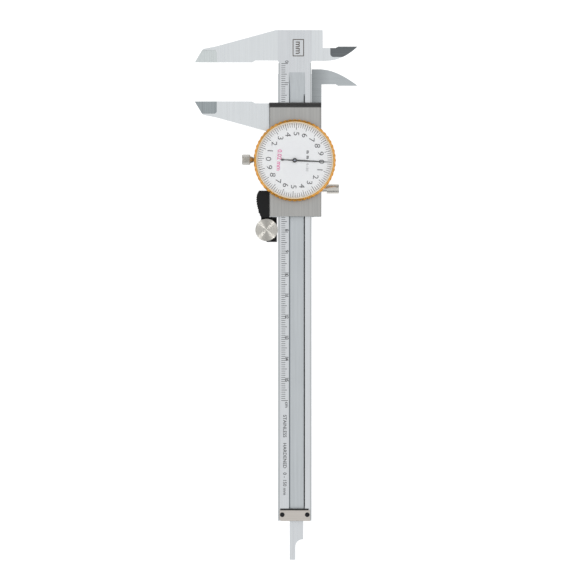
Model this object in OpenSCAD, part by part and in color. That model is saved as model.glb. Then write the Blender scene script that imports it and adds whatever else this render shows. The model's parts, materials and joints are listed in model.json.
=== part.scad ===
// Dial caliper, 0 to 150 mm, 0.02 mm graduations, 2 mm a turn.
// It lies on the back of its slider: +X towards the inside jaws, +Y towards the head,
// +Z out of the dial. The origin is where the dial's axis meets the slider's back face.
// Lengths are millimetres. The jaws stand open at 18.6 mm, and the dial is turned to zero there.

/* [Opening] */
// Distance between the outside measuring faces
opening = 18.6; // [18:0.1:22]

/* [Beam] */
// Width of the beam
beam_w = 16; // [15.9:0.1:16]
// Thickness of the beam
beam_t = 3.5; // [3.5:0.1:3.8]
// Distance from the dial's axis to the moving outside face
face_to_dial = 28.1; // [28.1:0.1:29]
// Distance from the fixed outside face down to the beam's end
beam_below_face = 217.8; // [214:0.1:224]
// Height of the head above the fixed outside face
head_h = 15.3; // [15.3:0.1:16]
// Depth of the rack groove in the front
front_groove_d = 1.7; // [1.6:0.1:1.7]
// Depth of the depth blade's groove in the back
back_groove_d = 1; // [1:0.1:1.1]
// Radius of the cutter that ran out of the front groove
cutter_r = 53; // [45:1:60]

/* [Jaws] */
// Reach of the outside jaws from the middle of the beam
jaw_reach = 47.5; // [46:0.5:50]
// Reach of the inside jaws from the middle of the beam
inner_reach = 29.7; // [29.7:0.1:31]
// Distance from an outside face to its own inside measuring edge
inner_edge = 7.5; // [7.5:0.1:7.7]
// Depth of the relief beside the outside faces
relief_d = 0.9; // [0.6:0.1:1]
// How far the jaws lie below the beam's front
jaw_step = 0.3; // [0.2:0.05:0.4]

/* [Slider] */
// Width of the slider
slider_w = 24.8; // [24.8:0.1:26]
// Thickness of the slider's back wall
wall_t = 1.45; // [1.45:0.05:1.5]
// Running gap between the slider and the beam
run_gap = 0.05; // [0.04:0.01:0.06]
// Thickness of the gib
gib_t = 0.8; // [0.7:0.1:0.9]
// Thickness of the cover plate
cover_t = 2.5; // [2.5:0.1:3]
// Width of the wiper across the top of the cover
wiper_w = 2.3; // [1.8:0.1:2.6]

/* [Dial] */
// Outer diameter of the bezel
bezel_d = 39; // [38.6:0.1:39.5]
// Height of the bezel
bezel_h = 5; // [5:0.1:5.6]
// Outer diameter of the dial case
case_d = 36; // [36:0.05:36.1]
// Number of finger scallops round the bezel
scallops = 52; // [40:1:80]

/* [Gears] */
// Teeth on the rack pinion
pinion_teeth = 16; // [15:1:18]
// Teeth on the drive and return wheels
wheel_teeth = 100; // [95:5:100]
// Teeth on the pointer's pinion
pointer_teeth = 20; // [20:2:22]
// Module of the wheels and the pointer's pinion
wheel_module = 0.15; // [0.145:0.005:0.15]

/* [Hidden] */
$fn = 64;
eps = 0.01;
press = 0.01;          // gap left round a pressed or screwed-in piece
turn_gap = 0.03;       // radial gap round a shaft that turns
slot_w = 0.3;           // width of a small screw's slot
sunk = 0.02;            // how far a countersunk head lies below its face
hand_travel = 2;        // slide that turns the hand once
travel_per_turn = hand_travel * wheel_teeth / pointer_teeth;   // for one turn of the rack pinion
module_mm = travel_per_turn / PI / pinion_teeth;

// Levels, from the slider's back face upwards
beam_z0 = wall_t + run_gap;
beam_z1 = beam_z0 + beam_t;
jaw_z1 = beam_z1 - jaw_step;
mid_z = (beam_z0 + jaw_z1) / 2;          // the plane where the inside jaws pass
pass_gap = 0.05;                         // half the gap between the inside jaws
cover_z0 = beam_z1 + run_gap;
cover_z1 = cover_z0 + cover_t;
floor_z = beam_z1 - front_groove_d;
case_floor_t = 0.7;
case_z1 = cover_z1 + 3.65;
wheel_z = cover_z1 + 1.2;
wheel_t = 0.4;
bridge_z = cover_z1 + 2.45;
bridge_t = 0.6;
dial_z = cover_z1 + 3.85;
dial_t = 0.3;
rib_z0 = dial_z + dial_t;
rib_t = 0.6;
hand_z = dial_z + dial_t + 0.3;
hand_t = 0.15;
bezel_z0 = cover_z1 + 1.05;
bezel_z1 = bezel_z0 + bezel_h;

// Places along and across the beam
moving_y = face_to_dial;
fixed_y = face_to_dial + opening;
head_y = fixed_y + head_h;
beam_end_y = fixed_y - beam_below_face;
half_w = beam_w / 2;
slider_shift = 0.25;                     // the slider is wider on the gib's side
slider_x0 = slider_shift - slider_w / 2;
slider_x1 = slider_shift + slider_w / 2;
slider_y0 = -26.8;
slider_y1 = 27.5;
cover_y0 = -26.5;
cover_y1 = slider_y1 - wiper_w;
flange_x = half_w + run_gap;
gib_x1 = flange_x + gib_t;
groove_x0 = -2.75;
groove_x1 = 4.85;
groove_full_y = fixed_y - 18.1;          // the groove is full depth below here
tip_x = -jaw_reach;
relief_x = 19.4;                         // where an inside jaw's measuring edge begins
edge_grind_x = 16.9;                     // where an inside jaw's grinding begins
head_stub_x = 13.3;                      // right side of the head
column_x = 12.7;                         // right side of the moving inside jaw's column
blade_x = [-2.4, 4.05];
blade_play = 0.2;                        // between the depth blade's sides and its groove
blade_t = back_groove_d - 0.1;
stop_x = [-7.2, 7.3];
stop_l = 5.1;
stop_t = 1.2;

// Rack and gear train
rack_tip_x = groove_x1 - 0.52;
rack_back_x = groove_x1 + 0.5;
rack_z1 = beam_z1 - 0.4;
pinion_r = pinion_teeth * module_mm / 2;
backlash = 0.04;
pinion_x = rack_tip_x + module_mm - pinion_r - backlash;
train_d = (wheel_teeth + pointer_teeth) / 2 * wheel_module;
pinion_y = sqrt(train_d * train_d - pinion_x * pinion_x);
train_angle = atan2(pinion_y, pinion_x);
rack_pitch = travel_per_turn / pinion_teeth;
rack_y0 = beam_end_y + 5.9;
rack_y1 = fixed_y - 15.1;

// Dial
case_r = case_d / 2;
case_bore_r = case_r - 1.1;
skirt_r = case_r + run_gap;
bezel_r = bezel_d / 2;
seat_r = skirt_r + 0.25;                 // bore that holds the gasket
sight_r = seat_r - 0.5;                  // what shows of the dial
hand_l = 17.2;
hand_angle = -3;                         // the zero stands a little off the X axis

// Thumb roller
roller_r = 5.36;
roller_x = -half_w - roller_r - 0.04;
roller_y = -32.9;
roller_z0 = 1.7;
roller_z1 = 6.5;
roller_bore_d = 2.6;
clip_d = 3.3;
clip_z1 = 0.65;
roller_seat_d = 2;                       // lower end of the roller's axle
bracket_plate_t = 1.6;
bracket_top_z = 7;
rest_y = [-26.9, -14.3];                 // ends of the thumb rest
neck_x = -16;                            // left side of the neck above the roller
plate_x1 = -8.5;                         // corner of the roller's plate
plate_y0 = -38.6;

// Side screws
lock_y = -13.4;
lock_z = 2.55;
lock_head_x = 15.3;
lock_head_l = 5.7;
lock_d = 2.5;
bezel_screw_y = 0.4;
bezel_screw_z = 6;
bezel_screw_d = 2;
gib_screw_y = [-1, 19];
gib_screw_z = 3.2;
gib_screw_d = 2;
gib_point_d = 1;

// Screws, as [diameter, head's diameter], and their places, as [x, y]
cover_screw = [2, 3.8];
small_screw = [1.6, 2.8];
end_screw = [1.6, 2.2];
lug_screw = [1.2, 2];
bridge_screw = [1, 2.2];
cover_screw_xy = [for (x = [-10.5, 10.5], y = [-9.5, 9.5]) [x, y]];
case_screw_xy = [[-6.5, 11], [6.5, -11], [-10, -2.5]];
pillar_xy = [[12.6, -3], [-12.6, 3]];
blade_screw_xy = [[0.8, 6], [0.8, 16]];
bracket_screw_y = [-18, -23.5];
bracket_screw_z = 2.6;
bracket_screw_x = -16.4;                 // under the head of a bracket screw
end_screw_x = 5.95;
end_screw_y = beam_end_y + 3;
lug_screw_xy = [-15.2, -1.3];
train_xy = [[pinion_x, pinion_y], [0, 0], [-pinion_x, -pinion_y]];
rack_bush_d = 3.2;
small_bush_d = 2.2;
bridge_bush_d = 2.4;
drive_d = 1.2;
return_d = 0.9;
pivot_d = 0.8;
lower_pivot_d = 0.7;
hand_seat_d = 0.7;
pillar_foot_d = 1.4;

// ---------- helpers ----------

// The range from a to b beyond x, and the range of a half width each side of x
function span(x, a, b) = [x + a, x + b];
function around(x, half) = [x - half, x + half];

// A block with its range along each axis
module block(x, y, z) {
    translate([x[0], y[0], z[0]])
        cube([x[1] - x[0], y[1] - y[0], z[1] - z[0]]);
}

// A rod along Z at a place, between two levels
module rod(p, z0, z1, d, fn = 64) {
    translate([p[0], p[1], z0])
        cylinder(h = z1 - z0, d = d, $fn = fn);
}

// A rod along X, from x0 to x1
module rod_x(x0, x1, y, z, d, fn = 64) {
    translate([x0, y, z])
        rotate([0, 90, 0])
            cylinder(h = x1 - x0, d = d, $fn = fn);
}

// A cone along X, from x0 to x1
module cone_x(x0, x1, y, z, d0, d1) {
    translate([x0, y, z])
        rotate([0, 90, 0])
            cylinder(h = x1 - x0, d1 = d0, d2 = d1);
}

// A flat ring round the Z axis at a place
module washer(p, z0, z1, d_out, d_in, fn = 64) {
    difference() {
        rod(p, z0, z1, d_out, fn);
        rod(p, z0 - 1, z1 + 1, d_in, fn);
    }
}

// A slotted countersunk screw for a hole whose mouth is at z1; size is [diameter, head's]
module flat_screw(p, z1, length, size) {
    cone_h = (size[1] - size[0]) / 2 - sunk;
    z = z1 - sunk;
    difference() {
        union() {
            rod(p, z - length, z - cone_h, size[0]);
            translate([p[0], p[1], z - cone_h])
                cylinder(h = cone_h, d1 = size[0], d2 = size[1] - 2 * sunk);
        }
        translate([p[0], p[1], z - cone_h / 2])
            linear_extrude(cone_h)
                square([size[1], slot_w], center = true);
    }
}

// The hole for a countersunk screw, open at z1
module flat_screw_hole(p, z1, length, size) {
    cone_h = (size[1] - size[0]) / 2;
    rod(p, z1 - sunk - length - 0.1, z1, size[0] + 2 * press);
    translate([p[0], p[1], z1 - cone_h])
        cylinder(h = cone_h + eps, d1 = size[0] + 2 * press, d2 = size[1] + 2 * press + 2 * eps);
}

// A cap screw with a hexagon socket, its head standing on z
module socket_screw(p, z, length, size, cap_h, socket_d) {
    difference() {
        union() {
            rod(p, z - length, z, size[0]);
            rod(p, z, z + cap_h, size[1]);
        }
        translate([p[0], p[1], z + cap_h / 3])
            cylinder(h = cap_h, d = socket_d, $fn = 6);
    }
}

// ---------- gear outlines ----------

function polar(r, a) = [r * cos(a), r * sin(a)];

// Angle by which an involute has opened at radius r
function involute_angle(base_r, r) =
    r <= base_r ? 0 : let (t = sqrt(r * r / base_r / base_r - 1)) t * 180 / PI - atan(t);

// Half the angle that a tooth fills at radius r
function half_tooth(pitch_r, r, teeth, thin) =
    let (base_r = pitch_r * cos(20))
    90 / teeth - thin / 2 / pitch_r * 180 / PI
    + involute_angle(base_r, pitch_r) - involute_angle(base_r, r);

// A spur gear's outline, a tooth centred on the X axis and thinned by a backlash
function gear_points(teeth, m, thin) =
    let (pitch_r = teeth * m / 2, root_r = pitch_r - 1.25 * m, tip_r = pitch_r + m)
    [for (i = [0 : teeth - 1])
        let (a = i * 360 / teeth)
        for (s = [[-1, root_r], [-1, pitch_r], [-1, tip_r], [1, tip_r], [1, pitch_r], [1, root_r]])
            polar(s[1], a + s[0] * half_tooth(pitch_r, s[1], teeth, thin))];

module gear(teeth, m, thin, phase, z0, z1) {
    translate([0, 0, z0])
        rotate(phase)
            linear_extrude(z1 - z0)
                polygon(gear_points(teeth, m, thin));
}

// ---------- jaw outlines ----------

// An outside jaw above its measuring face, which lies on the X axis
module outside_jaw_2d() {
    root = -half_w + eps;
    corner = [for (i = [0 : 3]) [-42.7, 4.9] + 1.6 * [cos(155 - 17 * i), sin(155 - 17 * i)]];
    polygon(concat([[-18.7, relief_d], [-20.2, 0], [tip_x, 0]],
                   corner,
                   [[-37.4, 7.55], [-9, 15.3], [-8.6, head_h], [root, head_h], [root, relief_d]]));
}

// Distance of an inside jaw's rounded back from its measuring edge, x along the jaw
function jaw_back(x, x0, depth, power) =
    depth * (1 - pow((x - x0) / (inner_reach - x0), power));

// An inside jaw below its measuring edge, which lies on the X axis beyond its relief
module inside_jaw_2d(x0, depth, power) {
    steps = 12;
    polygon(concat([[half_w, -relief_d + 0.2], [relief_x, -relief_d + 0.2], [relief_x + 1.2, 0],
                    [inner_reach, 0]],
                   [for (i = [steps : -1 : 0])
                       let (x = x0 + (inner_reach - x0) * pow(i / steps, 0.7))
                       [x, -jaw_back(x, x0, depth, power) - 0.15]],
                   [[half_w, -depth - 0.15]]));
}

// The ground recess that thins an outside jaw's tip, cut from z upwards and sloping down outwards
module tip_recess(z) {
    corner_r = 1.3;
    translate([-37, 0, z])
        rotate([0, -4, 0])
            linear_extrude(4)
                union() {
                    translate([-15, -2])
                        square([15, 7.8 - corner_r]);
                    translate([-15, -2])
                        square([15 - corner_r, 7.8]);
                    translate([-corner_r, 5.8 - corner_r])
                        circle(corner_r);
                }
}

// ---------- fixed body ----------

module beam() {
    color([0.76, 0.77, 0.78])
    difference() {
        union() {
            block([-half_w, half_w], [beam_end_y, head_y], [beam_z0, beam_z1]);
            translate([0, fixed_y, beam_z0])
                linear_extrude(jaw_z1 - beam_z0)
                    outside_jaw_2d();
            translate([0, fixed_y + inner_edge, mid_z + pass_gap])
                linear_extrude(jaw_z1 - mid_z - pass_gap)
                    inside_jaw_2d(14, 6.7, 2.2);
            block([half_w - 1, head_stub_x], [fixed_y + 0.65, head_y], [mid_z + pass_gap, jaw_z1]);
        }
        beam_front_groove();
        beam_back_groove();
        beam_neck_reliefs();
        for (s = [-1, 1])
            rod([s * end_screw_x, end_screw_y], beam_z1 - 2.5, beam_z1 + 1, end_screw[0] + 2 * press);
        beam_jaw_grinding();
    }
}

// Groove for the rack and its pinion, with the arc where the cutter ran out
module beam_front_groove() {
    x = [groove_x0, groove_x1];
    block(x, [beam_end_y - 1, groove_full_y], [floor_z, beam_z1 + 1]);
    rod_x(x[0], x[1], groove_full_y, floor_z + cutter_r, 2 * cutter_r, 128);
    block([groove_x1 - eps, rack_back_x], [beam_end_y - 1, rack_y1], [floor_z, rack_z1]);
}

module beam_back_groove() {
    x = blade_x + blade_play * [-1, 1];
    block(x, [beam_end_y - 1, fixed_y - 6], [beam_z0 - 1, beam_z0 + back_groove_d]);
}

// Shallow reliefs where the ground edges meet the head
module beam_neck_reliefs() {
    y = [fixed_y - 5.5, fixed_y + 0.4];
    block([-half_w - 1, -half_w + 0.45], y, [beam_z0 - 1, beam_z1 + 1]);
    block([half_w - 0.35, half_w + 1], y, [beam_z0 - 1, beam_z1 + 1]);
}

// Thin ground tips: both sides of the outside jaw, the front of the inside jaw
module beam_jaw_grinding() {
    corner_r = 1.5;
    translate([0, fixed_y, 0])
        tip_recess(jaw_z1 - 0.5);
    translate([0, fixed_y, beam_z0 + jaw_z1])
        mirror([0, 0, 1])
            tip_recess(jaw_z1 - 0.5);
    translate([0, fixed_y + 2.5, jaw_z1])
        rotate([-13, 0, 0])
            linear_extrude(4)
                translate([edge_grind_x, 0])
                    union() {
                        translate([corner_r, 0])
                            square([20, 8]);
                        translate([0, corner_r])
                            square([20, 8]);
                        translate([corner_r, corner_r])
                            circle(corner_r);
                    }
}

module rack() {
    color([0.24, 0.25, 0.27])
    translate([0, 0, floor_z + 0.1])
        linear_extrude(rack_z1 - floor_z - 0.1 - press)
            polygon(rack_points());
}

// Teeth point towards -X, and one is level with the pinion's axis
function rack_points() =
    let (first = ceil((rack_y0 - pinion_y) / rack_pitch) + 1,
         last = floor((rack_y1 - pinion_y) / rack_pitch) - 1,
         root_x = rack_tip_x + 2.25 * module_mm,
         half_root = rack_pitch / 4 - backlash / 2 + 1.25 * module_mm * tan(20),
         half_tip = rack_pitch / 4 - backlash / 2 - module_mm * tan(20))
    concat([[rack_back_x - press, rack_y1 - 0.1], [root_x, rack_y1 - 0.1]],
           [for (i = [last : -1 : first])
               let (y = pinion_y + i * rack_pitch)
               for (p = [[root_x, half_root], [rack_tip_x, half_tip],
                         [rack_tip_x, -half_tip], [root_x, -half_root]])
                   [p[0], y + p[1]]],
           [[root_x, rack_y0], [rack_back_x - press, rack_y0]]);

module end_stop_plate() {
    color([0.73, 0.71, 0.68])
    difference() {
        block(stop_x, [beam_end_y, beam_end_y + stop_l], [beam_z1, beam_z1 + stop_t]);
        for (s = [-1, 1])
            rod([s * end_screw_x, end_screw_y], beam_z1 - 1, beam_z1 + 2, end_screw[0] + 2 * press);
        translate([stop_x[0], beam_end_y, beam_z1])
            rotate(45)
                cube([1, 1, 4], center = true);
    }
}

module end_stop_bumper() {
    color([0.16, 0.16, 0.17])
        block([-6.9, 6.6], span(beam_end_y + stop_l, 0, 0.75), [beam_z1, beam_z1 + 0.8]);
}

module end_stop_screws() {
    color([0.2, 0.2, 0.21])
    for (s = [-1, 1])
        socket_screw([s * end_screw_x, end_screw_y], beam_z1 + stop_t, 3.5, end_screw, 0.5, 1.3);
}

// ---------- slider ----------

module slider_body() {
    color([0.74, 0.75, 0.76])
    difference() {
        union() {
            block([slider_x0, slider_x1], [slider_y0, slider_y1], [0, wall_t]);
            block([slider_x0, -flange_x], [slider_y0, slider_y1], [0, cover_z0]);
            block([gib_x1, slider_x1], [slider_y0, slider_y1], [0, cover_z0]);
            translate([-(flange_x - half_w), moving_y, beam_z0])
                mirror([0, 1, 0])
                    linear_extrude(jaw_z1 - beam_z0)
                        outside_jaw_2d();
            slider_inside_jaw();
        }
        slider_jaw_grinding();
        for (p = cover_screw_xy)
            rod(p, cover_z0 - 3.1, cover_z0 + 1, cover_screw[0] + 2 * press);
        for (y = gib_screw_y)
            rod_x(gib_x1 - 1, slider_x1 + 1, y, gib_screw_z, gib_screw_d + 2 * press);
        rod_x(gib_x1 - 1, slider_x1 + 1, lock_y, lock_z, lock_d + 2 * turn_gap);
        for (p = blade_screw_xy)
            mirror([0, 0, 1])
                flat_screw_hole(p, 0, 3, small_screw);
        for (y = bracket_screw_y)
            rod_x(slider_x0 - 1, slider_x0 + 2.2, y, bracket_screw_z, small_screw[0] + 2 * press);
    }
}

// Column beside the beam and the inside jaw, both below the fixed inside jaw
module slider_inside_jaw() {
    jaw_y = moving_y + inner_edge;
    block([flange_x, column_x], [slider_y1 - 2, moving_y + 15.3], [0, mid_z - pass_gap]);
    translate([0, jaw_y, beam_z0 - 0.2])
        mirror([0, 1, 0])
            linear_extrude(mid_z - pass_gap - beam_z0 + 0.2)
                intersection() {
                    inside_jaw_2d(column_x, 7.65, 1.7);
                    translate([flange_x, -20])
                        square([40, 40]);
                }
}

module slider_jaw_grinding() {
    for (top = [0, 1])
        translate([0, moving_y, top ? 0 : beam_z0 + jaw_z1])
            mirror([0, 1, 0])
                mirror([0, 0, top ? 0 : 1])
                    tip_recess(jaw_z1 - 0.5);
    translate([0, moving_y + inner_edge + 5, beam_z0 - 0.2])
        rotate([-166, 0, 0])
            linear_extrude(4)
                translate([edge_grind_x, 0])
                    square([20, 12]);
    block([flange_x - 1, slider_x1 + 1], [slider_y1, slider_y1 + 3],
          [mid_z - pass_gap - 0.15, mid_z + 1]);
}

module cover_plate() {
    bevel = 0.5;
    color([0.68, 0.67, 0.66])
    difference() {
        translate([0, cover_y1, 0])
            rotate([90, 0, 0])
                linear_extrude(cover_y1 - cover_y0)
                    polygon([[slider_x0, cover_z0], [slider_x1, cover_z0],
                             [slider_x1, cover_z1 - bevel], [slider_x1 - bevel, cover_z1],
                             [slider_x0 + bevel, cover_z1], [slider_x0, cover_z1 - bevel]]);
        for (p = cover_screw_xy)
            flat_screw_hole(p, cover_z1, 5.3, cover_screw);
        for (p = case_screw_xy)
            rod(p, cover_z0 + 0.3, cover_z1 + 1, small_screw[0] + 2 * press);
        rod(train_xy[0], cover_z0 - 1, cover_z1 + 1, rack_bush_d + 2 * press);
    }
}

module wiper_strip() {
    color([0.2, 0.2, 0.21])
    difference() {
        block([slider_x0, slider_x1], [cover_y1, slider_y1], [cover_z0, cover_z1 - 0.1]);
        block([slider_x0 - 1, slider_x1 + 1], [cover_y1 + 0.9, cover_y1 + 1.3],
              [cover_z1 - 0.5, cover_z1 + 1]);
    }
}

module cover_screws() {
    color([0.6, 0.6, 0.6])
    for (p = cover_screw_xy)
        flat_screw(p, cover_z1, 5.3, cover_screw);
}

module gib_strip() {
    color([0.72, 0.6, 0.32])
    difference() {
        block([flange_x, gib_x1], [-25, 25], [beam_z0, beam_z1 - 0.05]);
        for (y = gib_screw_y)
            rod_x(gib_x1 - 0.25, gib_x1 + 1, y, gib_screw_z, gib_point_d + 0.1);
    }
}

// Slotted set screws with a dog point in the gib
module gib_screws() {
    color([0.3, 0.3, 0.31])
    for (y = gib_screw_y)
        difference() {
            union() {
                rod_x(gib_x1 + 0.05, slider_x1 - 0.1, y, gib_screw_z, gib_screw_d);
                rod_x(gib_x1 - 0.2, gib_x1 + 0.1, y, gib_screw_z, gib_point_d);
            }
            block(span(slider_x1, -0.6, 1), around(y, 1.5),
                  around(gib_screw_z, slot_w / 2));
        }
}

// Blade with a concave step near its end, which leaves a narrow tongue
module depth_blade() {
    tip_y = beam_end_y - opening;
    z = beam_z0 - run_gap;
    step_r = 3.4;
    tongue_l = 6.3;
    tongue_x = blade_x[0] + 2.7;
    color([0.79, 0.79, 0.79])
    difference() {
        translate([0, 0, z])
            linear_extrude(blade_t)
                difference() {
                    translate([blade_x[0], tip_y])
                        square([blade_x[1] - blade_x[0], 20 - tip_y]);
                    translate([tongue_x + step_r, tip_y + tongue_l])
                        circle(step_r);
                    translate([tongue_x, tip_y - 1])
                        square([5, tongue_l + 1]);
                }
        for (p = blade_screw_xy)
            rod(p, z - 1, z + 2, small_screw[0] + 2 * press);
    }
}

module depth_blade_screws() {
    color([0.55, 0.55, 0.55])
    for (p = blade_screw_xy)
        mirror([0, 0, 1])
            flat_screw(p, 0, 2.3, small_screw);
}

// ---------- thumb roller ----------

// Outline of the thumb rest: a bulge above, drawn in towards the roller
module thumb_rest_2d() {
    x1 = slider_x0 - press;
    bulge = [for (i = [0 : 10])
        let (t = i / 10)
        [-17 - 1.25 * sin(180 * pow(t, 0.72)) + t * t, rest_y[1] - (rest_y[1] - rest_y[0]) * t]];
    polygon(concat([[x1, rest_y[1]]], bulge, [[x1, rest_y[0]]]));
}

// Plate that carries the roller: its outer side follows the roller, its free corner is square
module roller_plate_2d() {
    translate([neck_x, roller_y])
        square([plate_x1 - neck_x, rest_y[0] + 0.05 - roller_y]);
    translate([roller_x, plate_y0])
        square([plate_x1 - roller_x, roller_y - plate_y0 + 0.1]);
    translate([roller_x, roller_y])
        circle(4.6);
}

module thumb_bracket() {
    color([0.13, 0.13, 0.14])
    difference() {
        union() {
            linear_extrude(bracket_top_z)
                thumb_rest_2d();
            linear_extrude(bracket_plate_t)
                roller_plate_2d();
            translate([0, 0, bracket_plate_t - eps])
                linear_extrude(3.4)
                    polygon([[neck_x, rest_y[0] + 0.05], [plate_x1, rest_y[0] + 0.05],
                             [plate_x1, rest_y[0] - 0.7], [neck_x, rest_y[0] - 0.3]]);
        }
        rod([roller_x, roller_y], -1, bracket_plate_t + 1, roller_seat_d + 2 * press);
        rod([roller_x, roller_y], -1, clip_z1 + 0.05, clip_d + 0.3);
        for (y = bracket_screw_y)
            rod_x(-20, slider_x0 + 1, y, bracket_screw_z, small_screw[0] + 2 * press);
        for (y = bracket_screw_y)
            rod_x(-20, bracket_screw_x, y, bracket_screw_z, small_screw[1] + 2 * press);
    }
}

module thumb_bracket_screws() {
    color([0.3, 0.3, 0.3])
    for (y = bracket_screw_y)
        difference() {
            union() {
                rod_x(bracket_screw_x, slider_x0 + 2, y, bracket_screw_z, small_screw[0]);
                rod_x(bracket_screw_x - 0.8, bracket_screw_x, y, bracket_screw_z, small_screw[1]);
            }
            block(span(bracket_screw_x, -0.9, -0.5), around(y, 2),
                  around(bracket_screw_z, slot_w / 2));
        }
}

// Shouldered axle that stands on the bracket's plate
module roller_axle() {
    p = [roller_x, roller_y];
    color([0.62, 0.62, 0.62]) {
        rod(p, 0.1, bracket_plate_t + eps, roller_seat_d);
        rod(p, bracket_plate_t, roller_z1 - 1, roller_bore_d);
    }
}

// Clip under the plate that holds the axle down
module roller_clip() {
    color([0.35, 0.35, 0.36])
        washer([roller_x, roller_y], clip_z1 - 0.5, clip_z1, clip_d, roller_seat_d + 2 * press);
}

module thumb_roller() {
    p = [roller_x, roller_y];
    color([0.78, 0.77, 0.74])
    difference() {
        union() {
            rod(p, roller_z0 + 0.3, roller_z1 - 0.3, 2 * roller_r);
            rod(p, roller_z0, roller_z1, 2 * roller_r - 0.6);
        }
        rod(p, roller_z0 - 1, roller_z1 - 0.9, roller_bore_d + 2 * turn_gap);
    }
}

// ---------- dial case and movement frame ----------

module dial_case() {
    color([0.62, 0.6, 0.56])
    difference() {
        rod([0, 0], cover_z1, case_z1, case_d);
        rod([0, 0], cover_z1 + case_floor_t, case_z1 + 1, 2 * case_bore_r);
        translate([0, 0, bezel_z0 + 1])
            washer([0, 0], 0, 0.7, case_d + 2, case_d - 0.9);
        for (p = case_screw_xy)
            flat_screw_hole(p, cover_z1 + case_floor_t, 2.4, small_screw);
        for (p = [train_xy[1], train_xy[2]])
            rod(p, cover_z1 - 1, case_z1, small_bush_d + 2 * press);
        rod(train_xy[0], cover_z1 - 1, case_z1, rack_bush_d + 2 * press);
        for (p = pillar_xy)
            rod(p, cover_z1 - 1, case_z1, pillar_foot_d + 2 * press);
        rod(lug_screw_xy, cover_z1 - 1, case_z1, lug_screw[0] + 2 * press);
    }
}

module case_screws() {
    color([0.55, 0.55, 0.56])
    for (p = case_screw_xy)
        flat_screw(p, cover_z1 + case_floor_t, 2.4, small_screw);
}

// Plate that carries the top pivots, on two pillars beside the wheels
module upper_bridge() {
    color([0.8, 0.66, 0.36])
    difference() {
        union() {
            bridge_bar(train_xy[0], train_xy[2], 5);
            bridge_bar(pillar_xy[0], pillar_xy[1], 4);
        }
        for (p = train_xy)
            rod(p, bridge_z - 1, bridge_z + 2, bridge_bush_d + 2 * press);
        for (p = pillar_xy)
            rod(p, bridge_z - 1, bridge_z + 2, bridge_screw[0] + 0.4);
    }
}

// A bar with a round boss at each end
module bridge_bar(a, b, boss_d) {
    w = boss_d - 0.8;
    rod(a, bridge_z, bridge_z + bridge_t, boss_d);
    rod(b, bridge_z, bridge_z + bridge_t, boss_d);
    translate([a[0], a[1], bridge_z])
        rotate(atan2(b[1] - a[1], b[0] - a[0]))
            translate([0, -w / 2, 0])
                cube([norm(b - a), w, bridge_t]);
}

module bridge_pillars() {
    z0 = cover_z1 + case_floor_t;
    color([0.8, 0.68, 0.4])
    for (p = pillar_xy)
        difference() {
            union() {
                rod(p, z0, bridge_z, 3);
                rod(p, cover_z1 + 0.05, z0 + eps, pillar_foot_d);
            }
            rod(p, bridge_z - 1.2, bridge_z + 1, bridge_screw[0] + 2 * press);
        }
}

module bridge_screws() {
    z1 = bridge_z + bridge_t;
    color([0.5, 0.52, 0.6])
    for (p = pillar_xy)
        difference() {
            union() {
                rod(p, bridge_z - 1.1, z1, bridge_screw[0]);
                rod(p, z1, z1 + 0.4, bridge_screw[1]);
            }
            block(around(p[0], 2), around(p[1], slot_w / 2), span(z1, 0.2, 1));
        }
}

// Bearings in the case's floor and the cover plate
module cover_bushes() {
    z1 = cover_z1 + case_floor_t + 0.15;
    color([0.82, 0.66, 0.34]) {
        washer(train_xy[0], cover_z0 + 0.05, z1, rack_bush_d, drive_d + 2 * turn_gap);
        for (p = [train_xy[1], train_xy[2]])
            washer(p, cover_z1 + press, z1, small_bush_d, lower_pivot_d + 2 * turn_gap);
    }
}

module bridge_bushes() {
    color([0.82, 0.66, 0.34])
    for (p = train_xy)
        washer(p, bridge_z - 0.1, bridge_z + bridge_t + 0.05, bridge_bush_d, pivot_d + 2 * turn_gap);
}

// Split wire ring in the case's groove that holds the bezel up
module bezel_spring_ring() {
    ring_r = case_r - 0.05;
    color([0.5, 0.5, 0.52])
    difference() {
        translate([0, 0, bezel_z0 + 1.35])
            rotate_extrude($fn = 96)
                translate([ring_r, 0])
                    circle(d = 0.6, $fn = 24);
        translate([0, 20, bezel_z0 + 1.35])
            cube([2, 10, 3], center = true);
    }
}

module bezel_clamp_lug() {
    color([0.6, 0.58, 0.55])
    difference() {
        block([-18.8, slider_x0 - 0.05], [bezel_screw_y - 3, bezel_screw_y + 3],
              [4.7, cover_z1 - press]);
        rod_x(-20, slider_x0 + 1, bezel_screw_y, bezel_screw_z, bezel_screw_d + 2 * turn_gap);
        block([-20, -15], [bezel_screw_y - 4, bezel_screw_y + 4],
              [cover_z1 - 0.55, cover_z1 - 0.25]);
        rod(lug_screw_xy, cover_z1 - 0.9, cover_z1 + 1, lug_screw[0] + 2 * press);
    }
}

module bezel_clamp_lug_screw() {
    z1 = cover_z1 + case_floor_t;
    color([0.55, 0.55, 0.56])
    difference() {
        union() {
            rod(lug_screw_xy, cover_z1 - 0.8, z1, lug_screw[0]);
            rod(lug_screw_xy, z1, z1 + 0.35, lug_screw[1]);
        }
        translate([lug_screw_xy[0], lug_screw_xy[1], z1 + 0.3])
            cube([3, slot_w, 0.3], center = true);
    }
}

// ---------- bezel, crystal and dial ----------

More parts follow.
